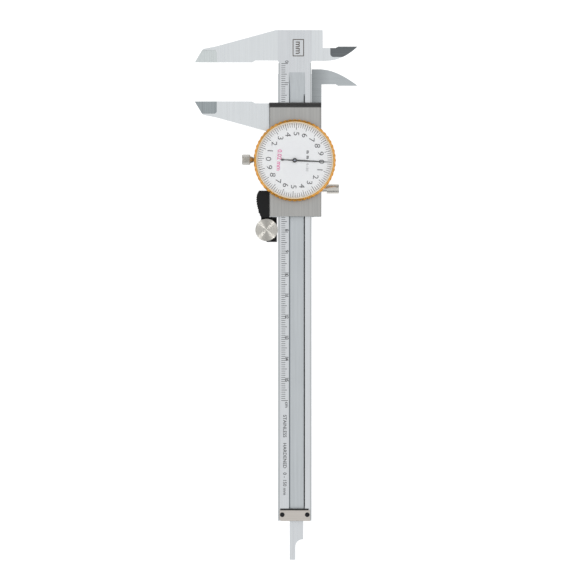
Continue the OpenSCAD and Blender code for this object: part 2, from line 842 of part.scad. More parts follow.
module bezel_ring() {
    notch_r = 0.9;
    notch_depth = 0.3;
    shelf_r = bezel_r - 0.5;
    shelf_z = bezel_z1 - 1.4;
    color([0.72, 0.45, 0.13])
    difference() {
        rotate_extrude($fn = 128)
            polygon([[skirt_r, bezel_z0], [bezel_r - 0.4, bezel_z0], [bezel_r, bezel_z0 + 0.4],
                     [bezel_r, shelf_z - 0.3], [bezel_r - 0.2, shelf_z - 0.1], [shelf_r, shelf_z],
                     [seat_r + 0.2, bezel_z1], [seat_r, bezel_z1],
                     [seat_r, rib_z0 + rib_t], [sight_r, rib_z0 + rib_t], [sight_r, rib_z0],
                     [skirt_r, rib_z0], [skirt_r, bezel_z0 + 1.7], [skirt_r + 0.4, bezel_z0 + 1.7],
                     [skirt_r + 0.4, bezel_z0 + 1], [skirt_r, bezel_z0 + 1]]);
        for (i = [0 : scallops - 1])
            rotate(i * 360 / scallops)
                rod([bezel_r + notch_r - notch_depth, 0], shelf_z - 1.6, bezel_z1, 2 * notch_r, 12);
    }
}

module crystal_gasket() {
    z = rib_z0 + rib_t;
    color([0.93, 0.88, 0.76])
    rotate_extrude($fn = 96)
        polygon([[sight_r, z], [seat_r - press, z], [seat_r - press, bezel_z1 - 0.1],
                 [seat_r - 0.3, bezel_z1 - 0.1], [seat_r - 0.3, z + 0.25], [sight_r, z + 0.25]]);
}

// Clear disc, slightly crowned
module crystal() {
    z = rib_z0 + rib_t + 0.25;
    r = seat_r - 0.3 - press;
    steps = 8;
    crown = [for (i = [0 : steps])
        let (x = r * (1 - i / steps))
        [x, z + 0.65 + 0.25 * (1 - x * x / r / r)]];
    color([0.85, 0.9, 0.92, 0.35])
    rotate_extrude($fn = 96)
        polygon(concat([[0, z], [r, z]], crown));
}

module dial_face() {
    color([0.95, 0.95, 0.94])
        washer([0, 0], dial_z, dial_z + dial_t, 2 * (skirt_r - 0.05), 1.6, 96);
}

// ---------- gear train ----------

module rack_pinion() {
    color([0.8, 0.7, 0.42])
    translate(train_xy[0])
        difference() {
            gear(pinion_teeth, module_mm, backlash, 180 / pinion_teeth, floor_z + 0.12, beam_z1 - 0.1);
            rod([0, 0], 0, beam_z1 + 1, drive_d + 2 * press);
        }
}

module drive_arbor() {
    color([0.7, 0.7, 0.72]) {
        rod(train_xy[0], floor_z + 0.15, bridge_z - 0.25, drive_d);
        rod(train_xy[0], bridge_z - 0.26, bridge_z + bridge_t, pivot_d);
    }
}

// A spoked wheel with a hub, bored for its arbor
module train_wheel(phase, arbor_d) {
    rim_r = wheel_teeth * wheel_module / 2 - 1.1;
    difference() {
        union() {
            gear(wheel_teeth, wheel_module, 0.03, phase, wheel_z, wheel_z + wheel_t);
            rod([0, 0], wheel_z - 0.25, wheel_z + wheel_t + 0.15, 2.6);
        }
        rod([0, 0], wheel_z - 1, wheel_z + 2, arbor_d + 2 * press);
        for (i = [0 : 3])
            rotate(45 + 90 * i)
                rod([(rim_r + 1.6) / 2, 0], wheel_z - 1, wheel_z + 2, rim_r - 2.6);
    }
}

module drive_wheel() {
    color([0.84, 0.7, 0.38])
    translate(train_xy[0])
        train_wheel(train_angle + 180, drive_d);
}

module return_wheel() {
    color([0.84, 0.7, 0.38])
    translate(train_xy[2])
        train_wheel(train_angle, return_d);
}

module return_arbor() {
    color([0.7, 0.7, 0.72]) {
        rod(train_xy[2], cover_z1 + 0.1, wheel_z - 0.3, lower_pivot_d);
        rod(train_xy[2], wheel_z - 0.31, bridge_z - 0.25, return_d);
        rod(train_xy[2], bridge_z - 0.26, bridge_z + bridge_t, pivot_d);
    }
}

// The pointer's arbor and its pinion are cut from one bar
module pointer_pinion() {
    gap_phase = train_angle + 180 / pointer_teeth;
    color([0.72, 0.72, 0.74]) {
        rod([0, 0], cover_z1 + 0.1, wheel_z - 0.3, lower_pivot_d);
        gear(pointer_teeth, wheel_module, 0.03, gap_phase, wheel_z - 0.31, wheel_z + wheel_t + 0.3);
        rod([0, 0], wheel_z + wheel_t + 0.29, bridge_z + bridge_t + 0.1, pivot_d);
        rod([0, 0], bridge_z + bridge_t + 0.09, hand_z + hand_t + 0.3, hand_seat_d);
    }
}

// Tapered hand with a round boss, and a disc at the end of its tail
module pointer() {
    tip = [hand_l, 0.14];
    root = [0, 0.62];
    tail = [-6.1, 0.2];
    color([0.08, 0.08, 0.08])
    translate([0, 0, hand_z])
        rotate(hand_angle)
            difference() {
                union() {
                    linear_extrude(hand_t)
                        polygon(concat([tip, root, tail], [for (p = [tail, root, tip]) [p[0], -p[1]]]));
                    cylinder(h = hand_t, r = 1.1);
                    translate([tail[0], 0, 0])
                        cylinder(h = hand_t, r = 0.55);
                }
                rod([0, 0], -1, 1, hand_seat_d + 2 * press);
            }
}

module pointer_hub() {
    z = hand_z + hand_t;
    color([0.1, 0.1, 0.1])
        washer([0, 0], z, z + 0.25, 2.2, hand_seat_d + 2 * press);
}

// Flat spiral over the return wheel, its outer end on a stud under the bridge
module hairspring() {
    turns = 4;
    steps = 24;
    r0 = 1.5;
    pitch = 0.85;
    w = 0.12;
    z = wheel_z + wheel_t + 0.2;
    turn = [for (i = [0 : turns * steps]) [r0 + pitch * i / steps, 360 * i / steps]];
    last = len(turn) - 1;
    color([0.45, 0.48, 0.6])
    translate([train_xy[2][0], train_xy[2][1], z])
        rotate(train_angle) {
            linear_extrude(0.3)
                polygon(concat([for (i = [0 : last]) polar(turn[i][0] + w / 2, turn[i][1])],
                               [for (i = [last : -1 : 0]) polar(turn[i][0] - w / 2, turn[i][1])]));
            translate([r0 + pitch * turns, 0, 0])
                cylinder(h = bridge_z - z, d = 0.7);
        }
}

// ---------- side screws ----------

// Slotted clamp screw: its tip bears on the gib
module lock_screw() {
    head_x1 = lock_head_x + lock_head_l;
    slot_turn = -23;
    color([0.7, 0.69, 0.66])
    difference() {
        union() {
            rod_x(gib_x1 + 0.02, slider_x1 + 0.1, lock_y, lock_z, lock_d);
            rod_x(slider_x1 + 0.09, lock_head_x + eps, lock_y, lock_z, 3);
            rod_x(lock_head_x, head_x1, lock_y, lock_z, 4.6);
        }
        translate([0, lock_y, lock_z])
            rotate([slot_turn, 0, 0])
                block(span(head_x1, -1.4, 1), around(0, 0.4), [-5, 5]);
    }
}

// Knurled screw that closes the split lug on the bezel
module bezel_screw() {
    y = bezel_screw_y;
    z = bezel_screw_z;
    head_x1 = -21.1;
    neck_x1 = -19.6;
    color([0.68, 0.66, 0.62]) {
        rod_x(-25, head_x1, y, z, 4.9);
        cone_x(head_x1 - eps, neck_x1, y, z, 3.6, 2.6);
        rod_x(neck_x1 - eps, -13, y, z, bezel_screw_d);
    }
}

beam();
rack();
end_stop_plate();
end_stop_bumper();
end_stop_screws();
slider_body();
cover_plate();
wiper_strip();
cover_screws();
gib_strip();
gib_screws();
depth_blade();
depth_blade_screws();
thumb_bracket();
thumb_bracket_screws();
roller_axle();
roller_clip();
dial_case();
case_screws();
upper_bridge();
bridge_pillars();
bridge_screws();
cover_bushes();
bridge_bushes();
bezel_spring_ring();
bezel_clamp_lug();
bezel_clamp_lug_screw();
bezel_ring();
crystal();
crystal_gasket();
dial_face();
rack_pinion();
drive_wheel();
drive_arbor();
pointer_pinion();
pointer();
pointer_hub();
return_wheel();
return_arbor();
hairspring();
thumb_roller();
lock_screw();
bezel_screw();
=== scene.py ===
"""Looks of a dial caliper around its CAD frame. Lengths are metres; MM turns millimetres into metres."""

import json
import math

import bmesh
import bpy
from mathutils import Matrix, Vector
from mathutils.bvhtree import BVHTree


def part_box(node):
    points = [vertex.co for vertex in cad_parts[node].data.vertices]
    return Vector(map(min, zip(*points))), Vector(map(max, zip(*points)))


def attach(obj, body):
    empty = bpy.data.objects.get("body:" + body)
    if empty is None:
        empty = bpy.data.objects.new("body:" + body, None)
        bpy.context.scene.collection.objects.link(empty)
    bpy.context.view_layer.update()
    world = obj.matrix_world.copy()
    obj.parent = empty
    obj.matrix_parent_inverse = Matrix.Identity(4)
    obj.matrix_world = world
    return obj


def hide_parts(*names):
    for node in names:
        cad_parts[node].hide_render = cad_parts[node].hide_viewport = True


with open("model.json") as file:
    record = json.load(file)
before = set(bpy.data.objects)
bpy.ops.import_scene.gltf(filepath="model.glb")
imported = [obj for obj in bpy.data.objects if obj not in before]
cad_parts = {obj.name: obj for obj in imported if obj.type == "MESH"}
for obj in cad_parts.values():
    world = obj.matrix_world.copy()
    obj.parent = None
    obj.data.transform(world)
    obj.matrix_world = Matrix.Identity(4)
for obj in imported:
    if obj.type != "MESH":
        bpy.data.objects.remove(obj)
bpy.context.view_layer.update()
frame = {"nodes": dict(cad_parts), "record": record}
MM = 0.001

# ---------- places, from the frame ----------

MOUNTS = {m["name"]: Vector(m["pos_m"]) for m in frame["record"]["mounts"]}
SLOT_OF = {s["node"]: s["material_slot"] for s in frame["record"]["subparts"]}
BODY_OF = {n: b for b, ns in frame["record"]["behaviour"]["bodies"].items() for n in ns}

BEAM_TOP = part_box("beam")[1].z
JAW_TOP = BEAM_TOP - 0.3 * MM            # front of the outside jaws
TIP_X = -37 * MM                         # the outside jaws' ground tips begin here
BEVEL_X = 16.9 * MM                      # the fixed inside jaw's bevel begins here
GROOVE_LEFT = -2.75 * MM                 # left wall of the groove
GROOVE_RIGHT = 4.85 * MM
HALF_BEAM = 8 * MM
SLIDER_LEFT = -12.45 * MM
FIXED_FACE_Y = MOUNTS["fixed_outside_face"].y
READING_EDGE_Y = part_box("wiper_strip")[1].y
ZERO_TICK_Y = FIXED_FACE_Y - 0.65 * MM
DIAL_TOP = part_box("dial_face")[1].z
DIAL_TURN = math.radians(-3)             # the dial's zero stands a little off the X axis
SIGHT_R = 17.8 * MM                      # radius of the dial that shows inside the gasket
TEXT_TURN = math.radians(-90)            # every mark reads upright with +X upwards
MARK_H = 0.02 * MM                       # height of printed and etched marks


# ---------- materials ----------

def new_material(name):
    """A new node material, with its tree and its Principled shader."""
    material = bpy.data.materials.new(name)
    material.use_nodes = True
    tree = material.node_tree
    shader = next(n for n in tree.nodes if n.type == "BSDF_PRINCIPLED")
    return material, tree, shader


def place_texture(tree, stretch):
    """Object coordinates, which are the row frame's, stretched along each axis."""
    coords = tree.nodes.new("ShaderNodeTexCoord")
    mapping = tree.nodes.new("ShaderNodeMapping")
    mapping.inputs["Scale"].default_value = stretch
    tree.links.new(coords.outputs["Object"], mapping.inputs["Vector"])
    return mapping.outputs["Vector"]


def noise(tree, vector, detail):
    node = tree.nodes.new("ShaderNodeTexNoise")
    node.inputs["Scale"].default_value = 1.0
    node.inputs["Detail"].default_value = detail
    node.inputs["Roughness"].default_value = 0.55
    tree.links.new(vector, node.inputs["Vector"])
    return node.outputs["Fac"]


def spread(tree, value, low, high, start=0.3, stop=0.7):
    """Maps a value from the range start to stop onto the range low to high."""
    node = tree.nodes.new("ShaderNodeMapRange")
    node.inputs["From Min"].default_value = start
    node.inputs["From Max"].default_value = stop
    node.inputs["To Min"].default_value = low
    node.inputs["To Max"].default_value = high
    tree.links.new(value, node.inputs["Value"])
    return node.outputs["Result"]


def two_colours(tree, factor, first, second):
    node = tree.nodes.new("ShaderNodeMix")
    node.data_type = "RGBA"
    node.inputs["A"].default_value = (*first, 1)
    node.inputs["B"].default_value = (*second, 1)
    tree.links.new(factor, node.inputs["Factor"])
    return node.outputs["Result"]


def bump(tree, shader, height, distance):
    node = tree.nodes.new("ShaderNodeBump")
    node.inputs["Strength"].default_value = 1.0
    node.inputs["Distance"].default_value = distance
    tree.links.new(height, node.inputs["Height"])
    tree.links.new(node.outputs["Normal"], shader.inputs["Normal"])


def shade(colour, k):
    return tuple(min(1.0, c * k) for c in colour)


def metal(name, colour, grain, rough=(0.25, 0.4), tone=0.06, depth=0.004, painted_shade_ramp=None):
    """Metal with a grain: fine lines along the axis where grain is small, faint clouds, a bump of depth mm.
    The last argument, (x0, k0, x1, k1), paints shade along X: the colour is k0 times as bright at x0, and k1
    times at x1."""
    material, tree, shader = new_material(name)
    shader.inputs["Metallic"].default_value = 1.0
    lines = noise(tree, place_texture(tree, grain), detail=3)
    clouds = noise(tree, place_texture(tree, (60, 60, 60)), detail=3)
    mixed = two_colours(tree, spread(tree, lines, 0, 1), shade(colour, 1 - tone), shade(colour, 1 + tone))
    clouded = tree.nodes.new("ShaderNodeMix")
    clouded.data_type = "RGBA"
    clouded.blend_type = "MULTIPLY"
    clouded.inputs["Factor"].default_value = 1.0
    tree.links.new(mixed, clouded.inputs["A"])
    tree.links.new(two_colours(tree, clouds, (0.93, 0.93, 0.93), (1, 1, 1)), clouded.inputs["B"])
    result = clouded.outputs["Result"]
    if painted_shade_ramp:
        x0, k0, x1, k1 = painted_shade_ramp
        split = tree.nodes.new("ShaderNodeSeparateXYZ")
        tree.links.new(place_texture(tree, (1, 1, 1)), split.inputs["Vector"])
        painted_shade_scale = tree.nodes.new("ShaderNodeVectorMath")
        painted_shade_scale.operation = "SCALE"
        tree.links.new(result, painted_shade_scale.inputs["Vector"])
        tree.links.new(spread(tree, split.outputs["X"], k0, k1, x0, x1), painted_shade_scale.inputs["Scale"])
        result = painted_shade_scale.outputs["Vector"]
    tree.links.new(result, shader.inputs["Base Color"])
    tree.links.new(spread(tree, lines, *rough), shader.inputs["Roughness"])
    bump(tree, shader, lines, depth * MM)
    return material


def turned_metal(name, colour, centre, rough, anisotropic, rings=9000):
    """Metal faced on a lathe: rings round an axis along Z through centre."""
    material, tree, shader = new_material(name)
    shader.inputs["Metallic"].default_value = 1.0
    shader.inputs["Anisotropic"].default_value = anisotropic
    shader.inputs["Anisotropic Rotation"].default_value = 0.25
    tangent = tree.nodes.new("ShaderNodeTangent")
    tangent.direction_type = "RADIAL"
    tangent.axis = "Z"
    tree.links.new(tangent.outputs["Tangent"], shader.inputs["Tangent"])
    coords = tree.nodes.new("ShaderNodeTexCoord")
    mapping = tree.nodes.new("ShaderNodeMapping")
    mapping.inputs["Location"].default_value = (-centre[0], -centre[1], 0)
    mapping.inputs["Scale"].default_value = (1, 1, 0)
    tree.links.new(coords.outputs["Object"], mapping.inputs["Vector"])
    radius = tree.nodes.new("ShaderNodeVectorMath")
    radius.operation = "LENGTH"
    tree.links.new(mapping.outputs["Vector"], radius.inputs[0])
    line = tree.nodes.new("ShaderNodeTexNoise")
    line.noise_dimensions = "1D"
    line.inputs["Scale"].default_value = rings
    line.inputs["Detail"].default_value = 2
    tree.links.new(radius.outputs["Value"], line.inputs["W"])
    fac = line.outputs["Fac"]
    tree.links.new(two_colours(tree, spread(tree, fac, 0, 1), shade(colour, 0.94), shade(colour, 1.06)),
                   shader.inputs["Base Color"])
    tree.links.new(spread(tree, fac, *rough), shader.inputs["Roughness"])
    bump(tree, shader, fac, 0.0012 * MM)
    return material


def moulded(name, colour, rough=(0.42, 0.6), grain=2600, depth=0.012, tone=0.12):
    """Moulded plastic or rubber with a fine leathery grain and slight colour change."""
    material, tree, shader = new_material(name)
    shader.inputs["Specular IOR Level"].default_value = 0.22
    fine = noise(tree, place_texture(tree, (grain, grain, grain)), detail=4)
    broad = noise(tree, place_texture(tree, (150, 150, 150)), detail=3)
    colours = two_colours(tree, spread(tree, broad, 0, 1), shade(colour, 1 - tone), shade(colour, 1 + tone))
    tree.links.new(colours, shader.inputs["Base Color"])
    tree.links.new(spread(tree, fine, *rough), shader.inputs["Roughness"])
    bump(tree, shader, fine, depth * MM)
    return material


def enamel(name, colour, rough=(0.3, 0.42), tone=0.015):
    """Smooth paint or print, very slightly uneven."""
    material, tree, shader = new_material(name)
    broad = noise(tree, place_texture(tree, (220, 220, 220)), detail=4)
    colours = two_colours(tree, spread(tree, broad, 0, 1), shade(colour, 1 - tone), shade(colour, 1 + tone))
    tree.links.new(colours, shader.inputs["Base Color"])
    tree.links.new(spread(tree, broad, *rough), shader.inputs["Roughness"])
    return material


def clear_crystal(name):
    """Clear acrylic with faint swirl marks in its roughness."""
    material, tree, shader = new_material(name)
    shader.inputs["Base Color"].default_value = (1, 1, 1, 1)
    shader.inputs["Alpha"].default_value = 0.035
    shader.inputs["Metallic"].default_value = 1.0
    swirl = noise(tree, place_texture(tree, (900, 160, 900)), detail=3)
    tree.links.new(spread(tree, swirl, 0.0, 0.03), shader.inputs["Roughness"])
    return material


ALONG_Y = (2400, 26, 2400)
ALONG_X = (26, 2400, 2400)
STEEL = (0.66, 0.675, 0.69)

ROLLER_CENTRE = (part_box("thumb_roller")[0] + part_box("thumb_roller")[1]) / 2

MATERIALS = {
    "ground_steel": metal("ground_steel", STEEL, ALONG_Y, rough=(0.24, 0.36), tone=0.05),
    "rack_steel": metal("rack_steel", (0.012, 0.013, 0.015), ALONG_Y, rough=(0.35, 0.55)),
    "cover_steel": metal("cover_steel", (0.42, 0.415, 0.4), ALONG_Y, rough=(0.28, 0.42), tone=0.1),
    "black_plastic": moulded("black_plastic", (0.006, 0.0065, 0.007)),
    "black_rubber": moulded("black_rubber", (0.04, 0.04, 0.04), rough=(0.6, 0.8)),
    "nickel": metal("nickel", (0.6, 0.58, 0.54), (900, 900, 900), rough=(0.2, 0.36), tone=0.05),
    "screw_steel": metal("screw_steel", (0.5, 0.5, 0.51), (900, 900, 900), rough=(0.25, 0.4)),
    "black_steel": metal("black_steel", (0.03, 0.03, 0.033), (900, 900, 900), rough=(0.35, 0.5)),
    "spring_steel": metal("spring_steel", (0.3, 0.33, 0.42), (900, 900, 900), rough=(0.2, 0.35)),
    "case_metal": metal("case_metal", (0.5, 0.48, 0.44), (900, 900, 900), rough=(0.3, 0.45)),
    "brass": metal("brass", (0.78, 0.58, 0.26), (900, 900, 900), rough=(0.22, 0.36)),
    "arbor_steel": metal("arbor_steel", (0.62, 0.62, 0.64), (900, 900, 900), rough=(0.12, 0.25)),
    "gold_bezel": metal("gold_bezel", (0.71, 0.335, 0.055), (500, 500, 1800), rough=(0.2, 0.32), tone=0.1),
    "clear": clear_crystal("clear"),
    "cream_plastic": moulded("cream_plastic", (0.93, 0.8, 0.58), rough=(0.25, 0.35), depth=0.002,
                             tone=0.03),
    "dial_white": enamel("dial_white", (0.915, 0.92, 0.93)),
    "hand_black": enamel("hand_black", (0.004, 0.004, 0.0045), rough=(0.3, 0.45), tone=0.2),
    "hub_metal": metal("hub_metal", (0.66, 0.66, 0.66), (900, 900, 900), rough=(0.1, 0.2)),
}
# The groove floor's darker, bluer steel: partly its milled finish, partly painted shade of the recess.
GROOVE_STEEL_AND_SHADE = metal("groove_steel_and_shade", (0.53, 0.555, 0.57), (900, 18, 900), rough=(0.3, 0.42), tone=0.07)
JAW_STEEL = metal("jaw_steel", (0.71, 0.73, 0.74), ALONG_Y, rough=(0.26, 0.36), tone=0.035)
FIXED_TIP_STEEL = metal("fixed_tip_steel", (0.62, 0.655, 0.65), ALONG_Y, rough=(0.24, 0.34), tone=0.05)
# Painted shade: the moving tip is a much darker copy of the tips' ground steel; the groove's left wall takes
# it too.
MOVING_TIP_SHADE_STEEL = metal("moving_tip_painted_shade", (0.33, 0.36, 0.37), ALONG_Y, rough=(0.24, 0.34), tone=0.12)
# Painted shade: the fixed inside jaw's bevel is a near-black copy of the steel, for the shade and dark
# reflection on its slope.
BEVEL_SHADE_STEEL = metal("bevel_painted_shade", (0.154, 0.165, 0.172), ALONG_X, rough=(0.3, 0.45), tone=0.15)
# Painted shade: the moving inside jaw is a darker copy of the jaw steel, darker still towards the slider at x
# 9 mm.
INSIDE_JAW_SHADE_STEEL = metal("inside_jaw_painted_shade", (0.44, 0.465, 0.475), ALONG_X, rough=(0.26, 0.38), tone=0.06,
                         painted_shade_ramp=(9 * MM, 0.68, 17 * MM, 1.05))
WIPER_BLACK = moulded("wiper_black", (0.055, 0.055, 0.055), rough=(0.5, 0.7))
END_STEEL = metal("end_steel", (0.57, 0.53, 0.49), ALONG_X, rough=(0.28, 0.42), tone=0.08)
# Painted shade: broken edges get a darker copy of the steel for their tilt.
EDGE_SHADE_STEEL = metal("edge_painted_shade", (0.4, 0.415, 0.425), (900, 900, 900), rough=(0.25, 0.4), tone=0.05)
# Painted shade: darker bands on the beam's top along its long edges, standing for the shade of their
# chamfers.
BAND_SHADE_STEEL = metal("band_painted_shade", (0.5, 0.515, 0.52), ALONG_Y, rough=(0.28, 0.4), tone=0.06)
JAW_FINISHES_AND_SHADES = (GROOVE_STEEL_AND_SHADE, JAW_STEEL, FIXED_TIP_STEEL, MOVING_TIP_SHADE_STEEL, BEVEL_SHADE_STEEL, INSIDE_JAW_SHADE_STEEL,
                EDGE_SHADE_STEEL)
# Material slots of the beam and the slider body: the node's own steel, then the jaw finishes and painted
# shades in order
OWN, GROOVE, FRONT, FIXED_TIP, MOVING_TIP_SHADE, BEVEL_SHADE, INSIDE_JAW_SHADE, EDGE_SHADE = range(8)
ROLLER_FACE = turned_metal("roller_face", (0.46, 0.445, 0.41), ROLLER_CENTRE, rough=(0.38, 0.42),
                           anisotropic=0.94)
ETCH_BLACK = enamel("etch_black", (0.03, 0.03, 0.033), rough=(0.5, 0.7), tone=0.2)
ETCH_BROWN = enamel("etch_brown", (0.09, 0.07, 0.055), rough=(0.5, 0.7), tone=0.2)
DIAL_PRINT = enamel("dial_print", (0.035, 0.035, 0.038), rough=(0.4, 0.55), tone=0.2)
DIAL_PINK = enamel("dial_pink", (0.78, 0.12, 0.36), rough=(0.4, 0.55), tone=0.05)
DIAL_GREY = enamel("dial_grey", (0.33, 0.33, 0.34), rough=(0.4, 0.55), tone=0.1)


# ---------- meshes ----------

def make_object(name, bm, body, materials, replaces=(), smooth=30, weighted=False):
    """A finished piece from a bmesh: shaded smooth below an angle, riding on a body, in place of CAD nodes.
    weighted keeps the flats beside rounded edges flat."""
    mesh = bpy.data.meshes.new(name)
    bmesh.ops.recalc_face_normals(bm, faces=bm.faces)
    bm.to_mesh(mesh)
    bm.free()
    for material in materials:
        mesh.materials.append(material)
    mesh.shade_smooth()
    mesh.set_sharp_from_angle(angle=math.radians(smooth))
    piece = bpy.data.objects.new(name, mesh)
    bpy.context.scene.collection.objects.link(piece)
    if weighted:
        modifier = piece.modifiers.new("normals", "WEIGHTED_NORMAL")
        modifier.keep_sharp = True
        modifier.weight = 100
        bpy.context.view_layer.update()
        evaluated = piece.evaluated_get(bpy.context.evaluated_depsgraph_get())
        piece.data = bpy.data.meshes.new_from_object(evaluated)
        piece.modifiers.clear()
    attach(piece, body)
    if replaces:
        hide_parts(*replaces)
    return piece


def round_edges(bm, width):
    """Bevels the sharp edges of a body, leaving tiny ones such as those round small holes."""
    sharpest_left = math.radians(25)
    shortest = 0.35 * MM
    bmesh.ops.remove_doubles(bm, verts=bm.verts, dist=1e-7)
    bmesh.ops.dissolve_limit(bm, angle_limit=math.radians(0.6), verts=bm.verts, edges=bm.edges)
    sharp = [e for e in bm.edges if e.is_manifold and e.calc_face_angle(0) > sharpest_left
             and e.calc_length() > shortest]
    bmesh.ops.bevel(bm, geom=sharp, offset=width, segments=2, profile=0.6, affect="EDGES",
                    clamp_overlap=True)


def refined(node, width, face_material=None, extra=(), reshape=None):
    """A copy of a CAD node with rounded edges, which stands for it. face_material picks a slot for a face
    from the node's own material and extra. reshape changes the bmesh first."""
    bm = bmesh.new()
    bm.from_mesh(frame["nodes"][node].data)
    if reshape:
        reshape(bm)
    round_edges(bm, width)
    if face_material:
        for face in bm.faces:
            face.material_index = face_material(face)
    slot = SLOT_OF[node]
    return make_object(node + "_shape", bm, BODY_OF[node], [MATERIALS[slot], *extra], [node],
                       smooth=35, weighted=True)


def lathe(bm, profile, segments, centre=(0, 0), depth=None):
    """Turns a closed profile of (radius, z) about a Z axis. depth(angle, i) pulls its point i inwards."""
    rings = []
    for s in range(segments):
        a = 2 * math.pi * s / segments
        ring = []
        for i, (r, z) in enumerate(profile):
            cut = depth(a, i) if depth else 0
            ring.append(None if r == 0 else bm.verts.new((centre[0] + (r - cut) * math.cos(a),
                                                          centre[1] + (r - cut) * math.sin(a), z)))
        rings.append(ring)
    poles = {i: bm.verts.new((centre[0], centre[1], z)) for i, (r, z) in enumerate(profile) if r == 0}
    n = len(profile)
    for s in range(segments):
        here, there = rings[s], rings[(s + 1) % segments]
        for i in range(n):
            j = (i + 1) % n
            corners = [here[i] or poles[i], there[i] or poles[i], there[j] or poles[j], here[j] or poles[j]]
            unique = list(dict.fromkeys(corners))
            if len(unique) > 2:
                bm.faces.new(unique)


def rounded(points, radius, steps=3):
    """Rounds every corner of a closed outline with a short arc."""
    result = []
    n = len(points)
    for k in range(n):
        before, here, after = (Vector(points[(k + d) % n]) for d in (-1, 0, 1))
        if radius == 0 or here.x == 0:
            result.append(tuple(here))
            continue
        cut = min(radius, (before - here).length / 2.2, (after - here).length / 2.2)
        a = here + (before - here).normalized() * cut
        b = here + (after - here).normalized() * cut
        for s in range(steps + 1):
            t = s / steps
            result.append(tuple(a * (1 - t) ** 2 + here * 2 * t * (1 - t) + b * t * t))
    return result


def turn_onto_x(bm, origin):
    """Turns a shape lathed about Z at the world's origin so that its axis lies along X through origin."""
    turn = Matrix.Rotation(math.radians(90), 4, "Y")
    bmesh.ops.transform(bm, matrix=Matrix.Translation(origin) @ turn, verts=bm.verts)


def bar(bm, centre, length, width, z0, z1, angle=0.0):
    """A thin closed block, its length along an angle in the XY plane."""
    turn = Matrix.Translation(centre) @ Matrix.Rotation(angle, 4, "Z")
    corners = [bm.verts.new(turn @ Vector((sx * length / 2, sy * width / 2, z)))
               for z in (z0, z1) for sx, sy in ((-1, -1), (1, -1), (1, 1), (-1, 1))]
    for quad in ((3, 2, 1, 0), (4, 5, 6, 7), (0, 1, 5, 4), (1, 2, 6, 5), (2, 3, 7, 6), (3, 0, 4, 7)):
        bm.faces.new([corners[q] for q in quad])


def add_text(bm, words, size, place, angle, z0, bold=0.0, squeeze=1.0):
    """Adds centred lettering to a bmesh as closed solids standing MARK_H above z0."""
    curve = bpy.data.curves.new("lettering", "FONT")
    curve.body = words
    curve.size = size
    curve.align_x = "CENTER"
    curve.align_y = "CENTER"
    curve.extrude = MARK_H
    curve.offset = bold
    curve.resolution_u = 3
    piece = bpy.data.objects.new("lettering", curve)
    bpy.context.scene.collection.objects.link(piece)
    bpy.context.view_layer.update()
    mesh = bpy.data.meshes.new_from_object(piece)
    mesh.transform(Matrix.Translation((place[0], place[1], z0)) @ Matrix.Rotation(angle, 4, "Z")
                   @ Matrix.Diagonal((squeeze, 1, 1, 1)))
    bm.from_mesh(mesh)
    bmesh.ops.remove_doubles(bm, verts=bm.verts, dist=1e-8)
    bpy.data.objects.remove(piece)
    bpy.data.curves.remove(curve)
    bpy.data.meshes.remove(mesh)


# ---------- beam ----------

def edge_finish(face):
    """Broken edges, which lean between a front and a side, get a darker steel: painted shade for their tilt.
    """
    return EDGE_SHADE if 0.2 < face.normal.z < 0.93 else OWN


def jaw_face(face):
    """Finish of a face of the jaws. The stepped-back tips, the bevel and the inside jaw have their own
    steels; those of the moving tip, the bevel and the inside jaw are darker copies that paint shade.
    """
    c = face.calc_center_median()
    fixed = c.y > FIXED_FACE_Y - 1 * MM
    if c.x < TIP_X and c.z < JAW_TOP - 0.3 * MM and face.normal.z > 0.9:
        return FIXED_TIP if fixed else MOVING_TIP_SHADE
    if c.x > BEVEL_X and fixed and 0.9 < face.normal.z < 0.99:
        return BEVEL_SHADE
    if not fixed and c.x > HALF_BEAM and face.normal.z > 0.9 and c.z < JAW_TOP - 1 * MM:
        return INSIDE_JAW_SHADE
    return FRONT if face.normal.z > 0.9 else edge_finish(face)


def beam_face(face):
    """Finish of a face of the beam. The groove's left wall takes the moving tip's darker steel as painted
    shade on the wall; the groove floor's steel is partly painted shade.
    """
    c = face.calc_center_median()
    if abs(c.x) > HALF_BEAM:
        return jaw_face(face)
    in_groove = GROOVE_LEFT < c.x < GROOVE_RIGHT and c.y < FIXED_FACE_Y
    # Painted shade on the groove's left wall.
    if in_groove and face.normal.x > 0.6 and c.x < GROOVE_LEFT + 1.2 * MM and c.z < BEAM_TOP - 0.1 * MM:
        return MOVING_TIP_SHADE
    # The groove floor takes steel that is partly painted shade.
    if in_groove and face.normal.z > 0.5 and c.z < BEAM_TOP - 0.005 * MM:
        return GROOVE
    return edge_finish(face)


def slider_face(face):
    """Finish of a face of the slider body, whose jaws stand out past its left side and its reading edge."""
    c = face.calc_center_median()
    return jaw_face(face) if c.x < SLIDER_LEFT or c.y > READING_EDGE_Y else OWN


def lean_groove_wall(bm):
    """The foot of the groove's left wall moves into the groove, so the wall shows from above."""
    lean = 0.34
    for vert in bm.verts:
        depth = BEAM_TOP - vert.co.z
        if abs(vert.co.x - GROOVE_LEFT) < 0.05 * MM and vert.co.y < FIXED_FACE_Y and depth < 2 * MM:
            vert.co.x += lean * depth


def build_beam():
    refined("beam", 0.28 * MM, beam_face, JAW_FINISHES_AND_SHADES, reshape=lean_groove_wall)
    refined("end_stop_plate", 0.15 * MM, lambda face: 1, [END_STEEL])
    refined("end_stop_bumper", 0.12 * MM)


